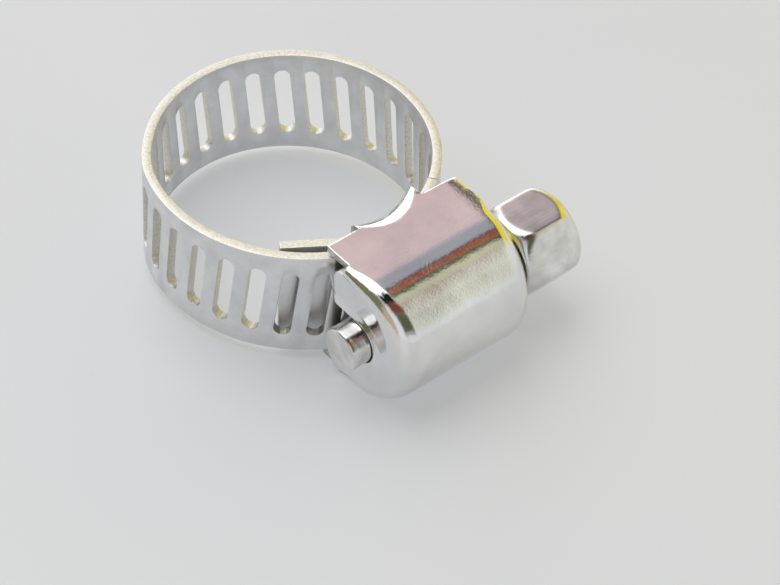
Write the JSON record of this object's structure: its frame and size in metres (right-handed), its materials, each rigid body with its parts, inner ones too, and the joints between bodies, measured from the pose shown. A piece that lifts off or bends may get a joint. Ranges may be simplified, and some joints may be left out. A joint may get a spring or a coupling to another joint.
{
  "type": "hose clamp",
  "caption": "Worm-drive hose clamp: a perforated steel band closed into a ring by a hex-headed worm screw in a pressed housing.",
  "frame": {"origin": "centre of the bounding box in X and Y, at the lowest face of the housing", "axes": "+Z along the ring's axis, +Y from the housing towards the far side of the ring, +X along the screw towards its hex head"},
  "size_m": [0.0207, 0.0262, 0.0094],
  "materials": {
    "plated_housing": "mirror-bright plating",
    "plated_screw": "bright plating with brushed flats",
    "band_steel": "satin"
  },
  "bodies": {
    "housing_body": {"housing": "plated_housing", "band_fixed_end": "band_steel"},
    "screw_body": {"worm_screw": "plated_screw"},
    "free_end_body": {"band_free_end": "band_steel"},
    "link_1_body": {"band_link_1": "band_steel"},
    "link_2_body": {"band_link_2": "band_steel"},
    "link_3_body": {"band_link_3": "band_steel"},
    "link_4_body": {"band_link_4": "band_steel"},
    "link_5_body": {"band_link_5": "band_steel"},
    "link_6_body": {"band_link_6": "band_steel"},
    "link_7_body": {"band_link_7": "band_steel"},
    "link_8_body": {"band_link_8": "band_steel"}
  },
  "joints": [
    {"name": "screw_turn", "type": "hinge", "parent": "housing_body", "child": "screw_body", "pos_m": [-0.00005, -0.00874, 0.0047], "axis": [-1, 0, 0], "range_deg": [-360, 1800]},
    {"name": "band_travel", "type": "hinge", "parent": "housing_body", "child": "free_end_body", "pos_m": [0.0001, 0.00368, 0.0047], "axis": [0, 0, 1], "range_deg": [-11.34, 56.5]},
    {"name": "bend_1", "type": "hinge", "parent": "free_end_body", "child": "link_1_body", "pos_m": [-0.00928, 0.00755, 0.0047], "axis": [0, 0, 1], "range_deg": [-13.95, 2.83]},
    {"name": "bend_2", "type": "hinge", "parent": "link_1_body", "child": "link_2_body", "pos_m": [-0.00675, 0.01064, 0.0047], "axis": [0, 0, 1], "range_deg": [-2.15, 0.47]},
    {"name": "bend_3", "type": "hinge", "parent": "link_2_body", "child": "link_3_body", "pos_m": [-0.00322, 0.01247, 0.0047], "axis": [0, 0, 1], "range_deg": [-2.1, 0.46]},
    {"name": "bend_4", "type": "hinge", "parent": "link_3_body", "child": "link_4_body", "pos_m": [0.00074, 0.01262, 0.0047], "axis": [0, 0, 1], "range_deg": [-3.05, 0.65]},
    {"name": "bend_5", "type": "hinge", "parent": "link_4_body", "child": "link_5_body", "pos_m": [0.00439, 0.01107, 0.0047], "axis": [0, 0, 1], "range_deg": [-4.65, 0.97]},
    {"name": "bend_6", "type": "hinge", "parent": "link_5_body", "child": "link_6_body", "pos_m": [0.00704, 0.00811, 0.0047], "axis": [0, 0, 1], "range_deg": [-5.8, 1.2]},
    {"name": "bend_7", "type": "hinge", "parent": "link_6_body", "child": "link_7_body", "pos_m": [0.00817, 0.00431, 0.0047], "axis": [0, 0, 1], "range_deg": [-5.9, 1.22]},
    {"name": "bend_8", "type": "hinge", "parent": "link_7_body", "child": "link_8_body", "pos_m": [0.00757, 0.00038, 0.0047], "axis": [0, 0, 1], "range_deg": [-5.35, 1.11]}
  ],
  "couplings": [
    {"joint": "band_travel", "follows": "screw_turn", "ratio": 0.031361},
    {"joint": "bend_1", "follows": "screw_turn", "ratio": -0.0077222},
    {"joint": "bend_2", "follows": "screw_turn", "ratio": -0.0011667},
    {"joint": "bend_3", "follows": "screw_turn", "ratio": -0.0011389},
    {"joint": "bend_4", "follows": "screw_turn", "ratio": -0.0016667},
    {"joint": "bend_5", "follows": "screw_turn", "ratio": -0.0025556},
    {"joint": "bend_6", "follows": "screw_turn", "ratio": -0.0031944},
    {"joint": "bend_7", "follows": "screw_turn", "ratio": -0.00325},
    {"joint": "bend_8", "follows": "screw_turn", "ratio": -0.0029444}
  ]
}
